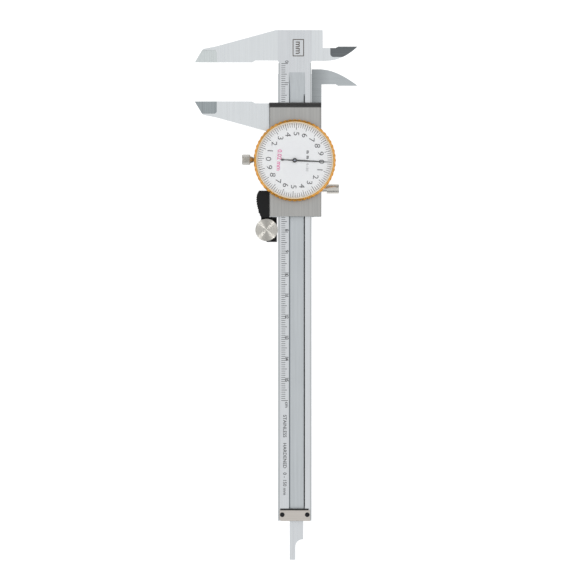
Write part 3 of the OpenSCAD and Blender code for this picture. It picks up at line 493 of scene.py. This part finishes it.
def build_beam_bands():
    """Painted shade: darker bands on the top where the long edges are broken, and a dark line painted as the
    shade at the foot of the rack.
    """
    y0, y1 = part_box("beam")[0].y + 0.4 * MM, FIXED_FACE_Y - 0.4 * MM
    inset = 0.25 * MM
    edges = bmesh.new()
    for x0, x1 in ((-HALF_BEAM + inset, -HALF_BEAM + 0.95 * MM), (HALF_BEAM - 0.75 * MM, HALF_BEAM - inset)):
        middle = ((x0 + x1) / 2, (y0 + y1) / 2, 0)
        bar(edges, middle, x1 - x0, y1 - y0, BEAM_TOP - MARK_H, BEAM_TOP + MARK_H)
    make_object("beam_edge_shade_bands", edges, "beam", [BAND_SHADE_STEEL])
    # A dark strip painted as the shade in the rack's lower corner.
    low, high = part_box("rack")
    x0, x1 = low.x - 0.02 * MM, low.x + 0.3 * MM
    z0, z1 = low.z - 0.12 * MM, low.z + 0.01 * MM    # from the groove's floor to just under the pinion
    foot = bmesh.new()
    bar(foot, ((x0 + x1) / 2, (low.y + high.y) / 2, 0), x1 - x0, high.y - low.y, z0, z1)
    make_object("rack_foot_shade_line", foot, "beam", [MATERIALS["rack_steel"]])


def build_beam_scale():
    """Millimetre ticks, longer at 5 and 10 mm."""
    bm = bmesh.new()
    ticks = 161
    start_x = -6.35 * MM
    for i in range(ticks):
        long_tick = 3.1 * MM if i % 10 == 0 else 2.6 * MM if i % 5 == 0 else 1.9 * MM
        width = 0.26 * MM if i % 5 == 0 else 0.22 * MM
        place = (start_x + long_tick / 2, ZERO_TICK_Y - i * MM, 0)
        bar(bm, place, long_tick, width, BEAM_TOP - MARK_H, BEAM_TOP + MARK_H)
    make_object("beam_scale", bm, "beam", [ETCH_BLACK])


def build_beam_lettering():
    """Centimetre numerals, the unit, generic words for the material and a plain mark on the head."""
    bm = bmesh.new()
    size = 2.3 * MM
    x = -3.85 * MM
    for i in range(16):
        y = ZERO_TICK_Y - i * 10 * MM + (0.9 * MM if i < 10 else 0)
        add_text(bm, str(i), size, (x, y), TEXT_TURN, BEAM_TOP, bold=0.03 * MM)
    add_text(bm, "cm", size, (x, ZERO_TICK_Y - 162 * MM), TEXT_TURN, BEAM_TOP, bold=0.03 * MM)
    add_text(bm, "STAINLESS    HARDENED   0 - 150 mm", size, (-4.8 * MM, -139.8 * MM), TEXT_TURN, BEAM_TOP,
             bold=0.02 * MM)
    make_object("beam_lettering", bm, "beam", [ETCH_BLACK])
    mark = bmesh.new()
    centre = Vector((1.7 * MM, 53.6 * MM, 0))
    half_w, half_h = 2.5 * MM, 3.9 * MM
    line = 0.4 * MM
    for s in (-1, 1):
        bar(mark, centre + Vector((s * half_w, 0, 0)), 2 * half_h + 0.3 * MM, line,
            BEAM_TOP - MARK_H, BEAM_TOP + MARK_H, math.radians(90))
        bar(mark, centre + Vector((0, s * half_h, 0)), 2 * half_w - 0.3 * MM, line,
            BEAM_TOP - MARK_H, BEAM_TOP + MARK_H)
    add_text(mark, "mm", 4.0 * MM, centre, TEXT_TURN, BEAM_TOP, bold=0.06 * MM)
    make_object("head_mark", mark, "beam", [ETCH_BROWN])


def build_end_screws():
    """Two socket screws: a rounded rim round the socket, over a plain shank."""
    low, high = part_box("end_stop_screws")
    bm = bmesh.new()
    head_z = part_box("end_stop_plate")[1].z
    r, socket_r, shank_r = 1.1 * MM, 0.62 * MM, 0.8 * MM
    for x in (low.x + r, high.x - r):
        centre = (x, (low.y + high.y) / 2)
        head = rounded([(socket_r, head_z), (r, head_z), (r, high.z), (socket_r, high.z)], 0.12 * MM)
        lathe(bm, head, 48, centre)
        lathe(bm, [(0, low.z), (shank_r, low.z), (shank_r, head_z), (0, head_z)], 32, centre)
    make_object("end_stop_screw_heads", bm, "beam", [MATERIALS["black_steel"]], ["end_stop_screws"])


# ---------- slider ----------

def build_slider():
    """The slider's own pieces, with their edges broken."""
    refined("slider_body", 0.16 * MM, slider_face, JAW_FINISHES_AND_SHADES)
    refined("cover_plate", 0.18 * MM)
    refined("lock_screw", 0.28 * MM)
    refined("wiper_strip", 0.2 * MM, lambda face: 1, [WIPER_BLACK])
    refined("depth_blade", 0.08 * MM)
    refined("thumb_bracket", 0.45 * MM)
    refined("bezel_clamp_lug", 0.12 * MM)


def build_thumb_ribs():
    """Fine upright ribs on the thumb rest's curved side, which the thumb pushes against."""
    low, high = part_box("thumb_bracket")
    surface = bmesh.new()
    surface.from_mesh(frame["nodes"]["thumb_bracket"].data)
    tree = BVHTree.FromBMesh(surface)
    bm = bmesh.new()
    ribs, first, pitch = 10, 2.1 * MM, 1.05 * MM
    r, sunk = 0.42 * MM, 0.24 * MM
    steps = 10
    # Height and share of the radius. The ribs begin above the bracket's screw holes.
    levels = ((4.2 * MM, 0.7), (4.5 * MM, 1), (high.z - 0.75 * MM, 1), (high.z - 0.45 * MM, 0.7))
    for i in range(ribs):
        y = high.y - first - i * pitch
        hit = tree.ray_cast(Vector((low.x - 5 * MM, y, high.z - 2 * MM)), Vector((1, 0, 0)))[0]
        angles = [math.pi * (j + 0.5) / steps for j in range(steps)]
        rings = [[bm.verts.new((hit.x + sunk - r * k * math.sin(a), hit.y - r * k * math.cos(a), z))
                  for a in angles] for z, k in levels]
        for here, there in zip(rings, rings[1:]):
            for j in range(steps):
                bm.faces.new((here[j], here[(j + 1) % steps], there[(j + 1) % steps], there[j]))
        bm.faces.new(rings[0])
        bm.faces.new(rings[-1])
    surface.free()
    make_object("thumb_bracket_ribs", bm, "slider", [MATERIALS["black_plastic"]])


def build_roller():
    """Disc with a straight knurl round its rim and a slightly dished, turned face."""
    low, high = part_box("thumb_roller")
    r = (high.x - low.x) / 2
    bore_r = 1.33 * MM
    rim_in = r - 0.22 * MM
    profile = [(bore_r, low.z), (rim_in, low.z), (r - 0.05 * MM, low.z + 0.2 * MM), (r, low.z + 0.45 * MM),
               (r, high.z - 0.45 * MM), (r - 0.05 * MM, high.z - 0.2 * MM), (rim_in, high.z - 0.02 * MM),
               (rim_in - 0.2 * MM, high.z), (2.2 * MM, high.z - 0.12 * MM), (0, high.z - 0.14 * MM),
               (0, high.z - 0.9 * MM), (bore_r, high.z - 0.9 * MM)]
    teeth = 84

    def knurl(angle, i):
        return 0.16 * MM * (0.5 - 0.5 * math.cos(teeth * angle)) if i in (3, 4) else 0

    bm = bmesh.new()
    lathe(bm, profile, teeth * 6, ROLLER_CENTRE, knurl)
    for face in bm.faces:
        on_front = face.normal.z > 0.9 or face.calc_center_median().z > high.z - 0.2 * MM
        face.material_index = 1 if on_front else 0
    make_object("thumb_roller_shape", bm, "thumb_roller", [MATERIALS["nickel"], ROLLER_FACE],
                ["thumb_roller"])


def build_bezel_screw():
    """Knurled head, tapered neck and shank."""
    low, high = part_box("bezel_screw")
    r = (high.z - low.z) / 2
    length = high.x - low.x
    head = 3.9 * MM
    shank_r = 1.0 * MM
    profile = [(0, 0), (r - 0.35 * MM, 0), (r, 0.3 * MM), (r, head - 0.3 * MM), (r - 0.35 * MM, head),
               (1.8 * MM, head), (1.3 * MM, head + 1.5 * MM), (shank_r, head + 1.6 * MM), (shank_r, length),
               (0, length)]
    teeth = 36

    def knurl(angle, i):
        return 0.22 * MM * abs(math.sin(teeth * angle / 2)) if i in (2, 3) else 0

    bm = bmesh.new()
    lathe(bm, profile, teeth * 8, (0, 0), knurl)
    turn_onto_x(bm, Vector((low.x, (low.y + high.y) / 2, (low.z + high.z) / 2)))
    make_object("bezel_screw_shape", bm, "bezel_screw", [MATERIALS["nickel"]], ["bezel_screw"])


# ---------- bezel, dial and hand ----------

def build_bezel():
    """Ring with a scalloped rim, an inner slope and a seat for the gasket."""
    low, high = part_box("bezel_ring")
    r = (high.x - low.x) / 2
    seat_r, skirt_r, rib_r = 18.3 * MM, 18.05 * MM, SIGHT_R
    rib_low = DIAL_TOP
    rib_high = rib_low + 0.6 * MM
    z0, z1 = low.z, high.z
    shelf_z = z1 - 1.4 * MM
    clip_r = skirt_r + 0.4 * MM                      # bottom of the slot for the spring ring
    profile = [(skirt_r, z0), (r - 0.5 * MM, z0), (r - 0.12 * MM, z0 + 0.3 * MM),
               (r - 0.03 * MM, z0 + 0.8 * MM), (r, z0 + 1.3 * MM), (r, shelf_z - 0.45 * MM),
               (r - 0.05 * MM, shelf_z - 0.22 * MM), (r - 0.16 * MM, shelf_z - 0.08 * MM),
               (r - 0.32 * MM, shelf_z), (r - 0.44 * MM, shelf_z), (r - 0.5 * MM, shelf_z + 0.06 * MM),
               (seat_r + 0.3 * MM, z1 - 0.1 * MM), (seat_r + 0.2 * MM, z1), (seat_r + 0.08 * MM, z1),
               (seat_r, z1 - 0.08 * MM), (seat_r, rib_high), (rib_r, rib_high), (rib_r, rib_low),
               (skirt_r, rib_low), (skirt_r, z0 + 1.7 * MM), (clip_r, z0 + 1.7 * MM),
               (clip_r, z0 + 1.0 * MM), (skirt_r, z0 + 1.0 * MM)]
    scallops = 52
    deepest = 0.34 * MM
    share = {3: 0.4, 4: 1, 5: 1, 6: 1, 7: 0.95, 8: 0.7, 9: 0.4}

    def scallop(angle, i):
        return share.get(i, 0) * deepest * abs(math.sin(scallops * angle / 2)) ** 3

    bm = bmesh.new()
    lathe(bm, profile, scallops * 16, (0, 0), scallop)
    make_object("bezel_shape", bm, "bezel", [MATERIALS["gold_bezel"]], ["bezel_ring"],
                smooth=40)


def build_gasket_and_crystal():
    """Gasket with a sloped inner lip, and a crystal with a slight crown."""
    low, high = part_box("crystal_gasket")
    r = (high.x - low.x) / 2
    profile = [(SIGHT_R, low.z), (r, low.z), (r, high.z - 0.05 * MM), (r - 0.05 * MM, high.z),
               (r - 0.15 * MM, high.z), (SIGHT_R, high.z - 0.3 * MM)]
    bm = bmesh.new()
    lathe(bm, profile, 192)
    make_object("gasket_shape", bm, "bezel", [MATERIALS["cream_plastic"]], ["crystal_gasket"])

    low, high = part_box("crystal")
    r = SIGHT_R - 0.01 * MM
    rise = 0.2 * MM
    steps = 14
    crown = [(r * (1 - k / steps), high.z - rise * (1 - k / steps) ** 2) for k in range(1, steps + 1)]
    edge_z = high.z - rise
    profile = [(0, low.z), (r, low.z), (r, edge_z - 0.08 * MM), (r - 0.08 * MM, edge_z)] + crown
    bm = bmesh.new()
    lathe(bm, profile, 192)
    make_object("crystal_shape", bm, "bezel", [MATERIALS["clear"]], ["crystal"], smooth=60)


def dial_point(radius, angle):
    """A point of the dial, from its centre, which is the row frame's Z axis."""
    return Vector((radius * math.cos(angle), radius * math.sin(angle), 0))


def build_dial():
    """White plate, 100 divisions, two runs of 0 to 9 and generic words for unit, range and division."""
    low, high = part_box("dial_face")
    r = (high.x - low.x) / 2
    plate = bmesh.new()
    hole_r = 0.8 * MM
    lathe(plate, rounded([(hole_r, low.z), (r, low.z), (r, high.z), (hole_r, high.z)], 0.06 * MM), 192)
    make_object("dial_plate", plate, "bezel", [MATERIALS["dial_white"]], ["dial_face"])

    ticks = bmesh.new()
    outer = 17.5 * MM
    divisions = 100
    for i in range(divisions):
        long_tick = 2.9 * MM if i % 5 == 0 else 2.0 * MM
        width = 0.24 * MM if i % 5 == 0 else 0.2 * MM
        angle = DIAL_TURN - 2 * math.pi * i / divisions
        bar(ticks, dial_point(outer - long_tick / 2, angle), long_tick, width,
            DIAL_TOP - MARK_H, DIAL_TOP + MARK_H, angle)
    make_object("dial_ticks", ticks, "bezel", [DIAL_PRINT])

    turn = TEXT_TURN + DIAL_TURN
    numerals = bmesh.new()
    for i in range(20):
        angle = DIAL_TURN - 2 * math.pi * i / 20
        add_text(numerals, str(i % 10), 3.75 * MM, dial_point(12.6 * MM, angle), turn, DIAL_TOP, squeeze=1.15)
    make_object("dial_numerals", numerals, "bezel", [DIAL_PRINT])

    unit = bmesh.new()
    for y in (3.9 * MM, 1.4 * MM):
        add_text(unit, "m", 1.9 * MM, (6.2 * MM, y), turn, DIAL_TOP, bold=0.1 * MM)
    make_object("dial_unit", unit, "bezel", [DIAL_PRINT])
    span = bmesh.new()
    add_text(span, "0-150", 1.5 * MM, (5.9 * MM, -3.3 * MM), turn, DIAL_TOP, squeeze=1.1)
    make_object("dial_range", span, "bezel", [DIAL_GREY])
    division = bmesh.new()
    add_text(division, "0.02 mm", 2.85 * MM, (-7.45 * MM, 0.1 * MM), turn, DIAL_TOP, bold=0.06 * MM)
    make_object("dial_division", division, "bezel", [DIAL_PINK])


def build_hand():
    """Hand of thin black steel with sloped edges, and its boss."""
    low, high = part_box("pointer")
    z0, z1 = low.z, high.z
    # Half the hand's outline from tip to tail, in millimetres
    outline = [(17.2, 0.1), (14.2, 0.15), (12.8, 0.22), (1.05, 0.45), (0.85, 0.7), (0.5, 0.98), (0, 1.1),
               (-0.5, 0.98), (-0.85, 0.7), (-1.05, 0.32), (-4.9, 0.2), (-5.3, 0.38), (-5.8, 0.5),
               (-6.3, 0.46), (-6.6, 0.2), (-6.65, 0)]
    half = [(x * MM, y * MM) for x, y in outline]
    ring = half + [(x, -y) for x, y in reversed(half[:-1])]
    turn = Matrix.Rotation(DIAL_TURN, 4, "Z")
    bm = bmesh.new()
    lower = [bm.verts.new(turn @ Vector((x, y, z0))) for x, y in ring]
    upper = [bm.verts.new(turn @ Vector((x, y * 0.8, z1))) for x, y in ring]
    bm.faces.new(lower)
    bm.faces.new(upper)
    for i in range(len(ring)):
        j = (i + 1) % len(ring)
        bm.faces.new((lower[i], lower[j], upper[j], upper[i]))
    make_object("hand", bm, "pointer_shaft", [MATERIALS["hand_black"]], ["pointer"],
                smooth=40)

    low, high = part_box("pointer_hub")
    r = (high.x - low.x) / 2
    bore_r = 0.36 * MM
    profile = [(bore_r, low.z), (r, low.z), (r, high.z - 0.1 * MM), (r - 0.12 * MM, high.z), (bore_r, high.z)]
    bm = bmesh.new()
    lathe(bm, profile, 64)
    make_object("hand_boss", bm, "pointer_shaft", [MATERIALS["hand_black"]], ["pointer_hub"])


# ---------- the rest of the CAD nodes ----------

def dress_cad_nodes():
    """Every CAD node takes its slot's material. The hand's arbor is blued, as its end shows in the hub."""
    for name, node in frame["nodes"].items():
        slot = "spring_steel" if name == "pointer_pinion" else SLOT_OF[name]
        node.data.materials.clear()
        node.data.materials.append(MATERIALS[slot])
        for polygon in node.data.polygons:
            polygon.material_index = 0


# ---------- stage ----------

def build_stage():
    """A plain white floor with a glow of its own, so that it stays pale."""
    floor_mesh = bpy.data.meshes.new("floor")
    half = 3.0
    corners = [(-half, -half, 0), (half, -half, 0), (half, half, 0), (-half, half, 0)]
    floor_mesh.from_pydata(corners, [], [(0, 1, 2, 3)])
    material, _, shader = new_material("floor_white")
    shader.inputs["Base Color"].default_value = (0.5, 0.5, 0.5, 1)
    shader.inputs["Roughness"].default_value = 0.9
    shader.inputs["Specular IOR Level"].default_value = 0.1
    shader.inputs["Emission Color"].default_value = (1, 1, 1, 1)
    shader.inputs["Emission Strength"].default_value = 0.8
    floor_mesh.materials.append(material)
    floor = bpy.data.objects.new("floor", floor_mesh)
    bpy.context.scene.collection.objects.link(floor)
    floor.location.z = -0.01 * MM


def add_area(name, place, target, size, power, only=None):
    """A square area light. only is a collection of the pieces that it lights, if not all."""
    light = bpy.data.lights.new(name, "AREA")
    light.size = size
    light.energy = power
    lamp = bpy.data.objects.new(name, light)
    bpy.context.scene.collection.objects.link(lamp)
    lamp.location = place
    lamp.rotation_euler = (Vector(target) - Vector(place)).to_track_quat("-Z", "Y").to_euler()
    if only:
        lamp.light_linking.receiver_collection = only


def light_scene():
    """Soft light all round, five wide lamps, and six that give the roller its crossed sheen."""
    world = bpy.data.worlds.new("studio")
    bpy.context.scene.world = world
    world.use_nodes = True
    tree = world.node_tree
    background = tree.nodes["Background"]
    background.inputs["Color"].default_value = (0.97, 0.985, 1, 1)
    direction = tree.nodes.new("ShaderNodeTexCoord")
    split = tree.nodes.new("ShaderNodeSeparateXYZ")
    tree.links.new(direction.outputs["Generated"], split.inputs["Vector"])
    brighter_upwards = spread(tree, split.outputs["Z"], 0.25, 0.84, 0.2, 0.85)
    tree.links.new(brighter_upwards, background.inputs["Strength"])
    target = (0, -0.06, 0)
    add_area("overhead", (0.0, -0.12, 1.7), target, 1.5, 1.1)
    reach = 0.75
    for k, (x, y, power) in enumerate(((-1, 1, 2.3), (1, 1, 1.6), (-1, -1, 1.9), (1, -1, 1.3))):
        add_area(f"corner_{k}", (x * reach, y * reach - 0.06, 0.95), target, 1.1, power)
    roller_only = bpy.data.collections.new("roller_only")
    roller_only.objects.link(bpy.data.objects["thumb_roller_shape"])
    aim = (*ROLLER_CENTRE.xy, BEAM_TOP)
    for k, degrees in enumerate((45, 135, 225, 315)):
        a = math.radians(degrees)
        place = (aim[0] + math.cos(a), aim[1] + math.sin(a), 1.0)
        add_area(f"sheen_{k}", place, aim, 0.3, 3.4, roller_only)
    for k, side in enumerate((-1, 1)):
        add_area(f"glow_{k}", (aim[0] + side, aim[1], 1.0), aim, 0.8, 1.8, roller_only)


def place_camera():
    """A long lens straight above the middle of the picture."""
    middle = Vector((-3.2 * MM, -60.5 * MM, BEAM_TOP))
    view_width = 273.5 * MM
    distance = 3.0
    camera = bpy.data.cameras.new("camera")
    camera.sensor_width = 36
    camera.lens = camera.sensor_width * distance / view_width
    eye = bpy.data.objects.new("camera", camera)
    bpy.context.scene.collection.objects.link(eye)
    eye.location = middle + Vector((0, 0, distance))
    bpy.context.scene.camera = eye


dress_cad_nodes()
build_beam()
build_beam_bands()
build_beam_scale()
build_beam_lettering()
build_end_screws()
build_slider()
build_thumb_ribs()
build_roller()
build_bezel_screw()
build_bezel()
build_gasket_and_crystal()
build_dial()
build_hand()
build_stage()
light_scene()
place_camera()
bpy.context.scene.view_settings.view_transform = "Standard"
